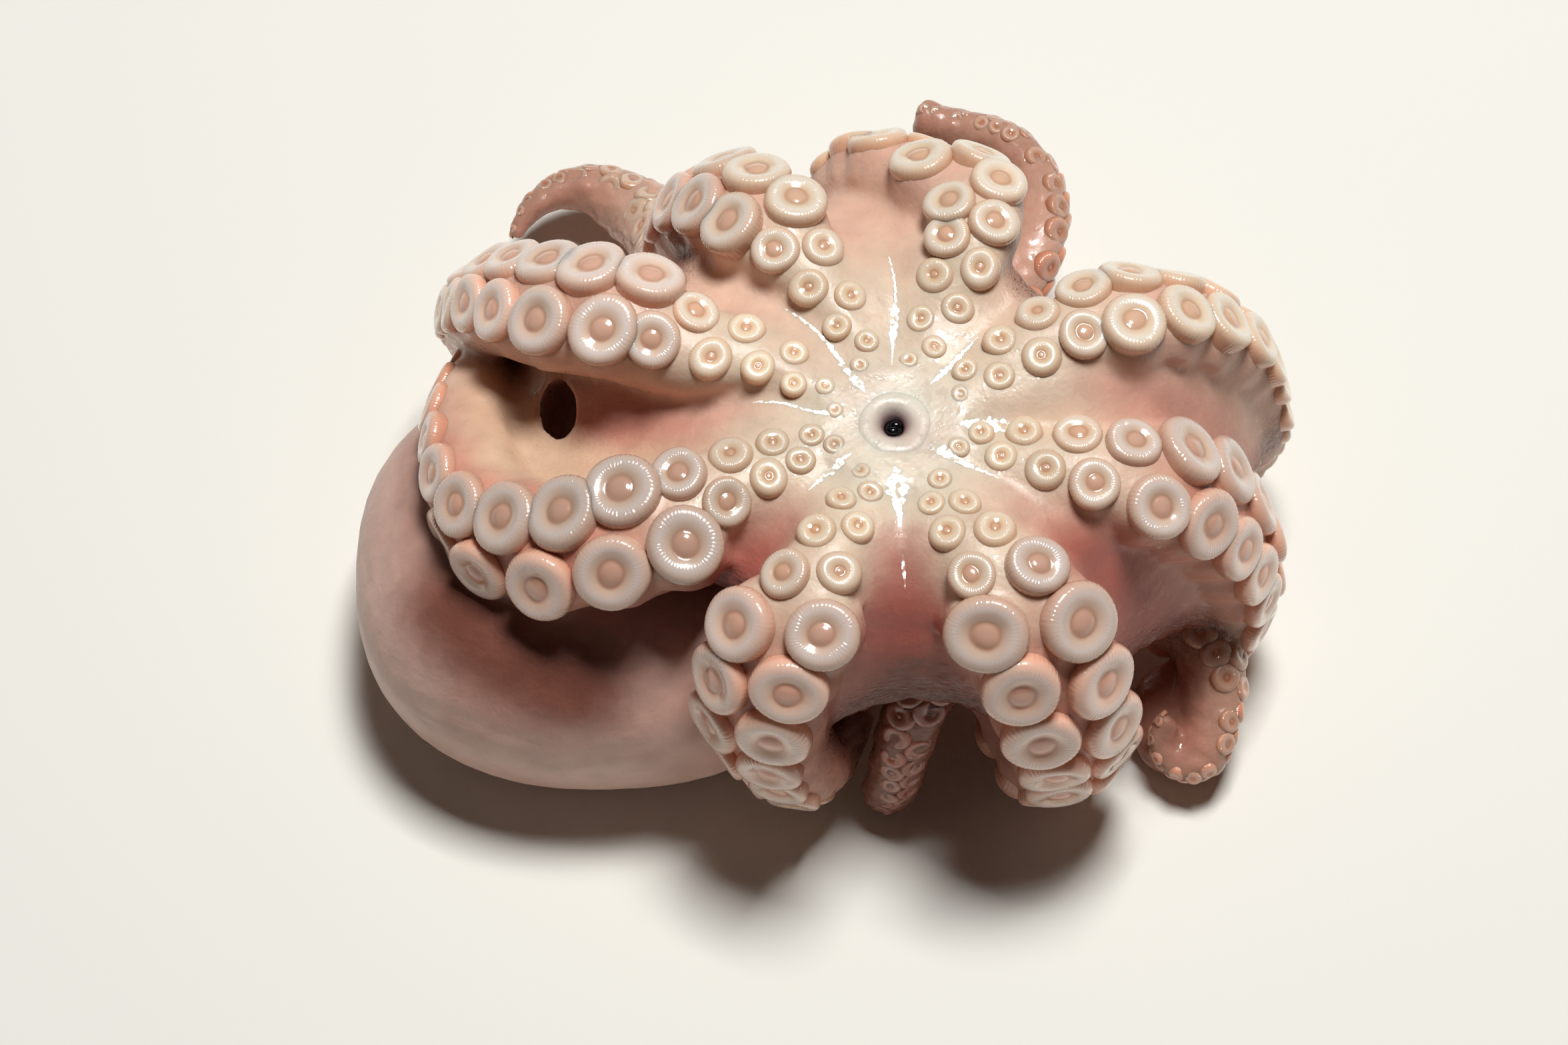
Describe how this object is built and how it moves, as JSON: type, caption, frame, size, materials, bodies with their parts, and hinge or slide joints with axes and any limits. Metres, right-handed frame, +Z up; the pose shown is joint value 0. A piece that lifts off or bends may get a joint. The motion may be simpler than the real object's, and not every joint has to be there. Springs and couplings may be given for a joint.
{
  "type": "baby octopus",
  "caption": "Whole cooked baby octopus lying mouth up: curled arms with staggered rows of round suckers, webs between the arms, and a smooth mantle bag to one side.",
  "frame": {"origin": "on the table, under the middle of the whole body's box", "axes": "+Z up, the way the mouth faces; +X from the mantle bag towards the eastern arms; +Y away from the two front arms"},
  "size_m": [0.1066, 0.0914, 0.0496],
  "materials": {
    "flesh": "moist cooked flesh, creamy white round the mouth to brown pink at the tips, satin with wet glints",
    "suckers": "translucent milky white rims, glossy, with a pinkish tan cup",
    "beak": "black horn, wet and glossy"
  },
  "bodies": {
    "root": {"octopus": "flesh"}
  },
  "joints": []
}
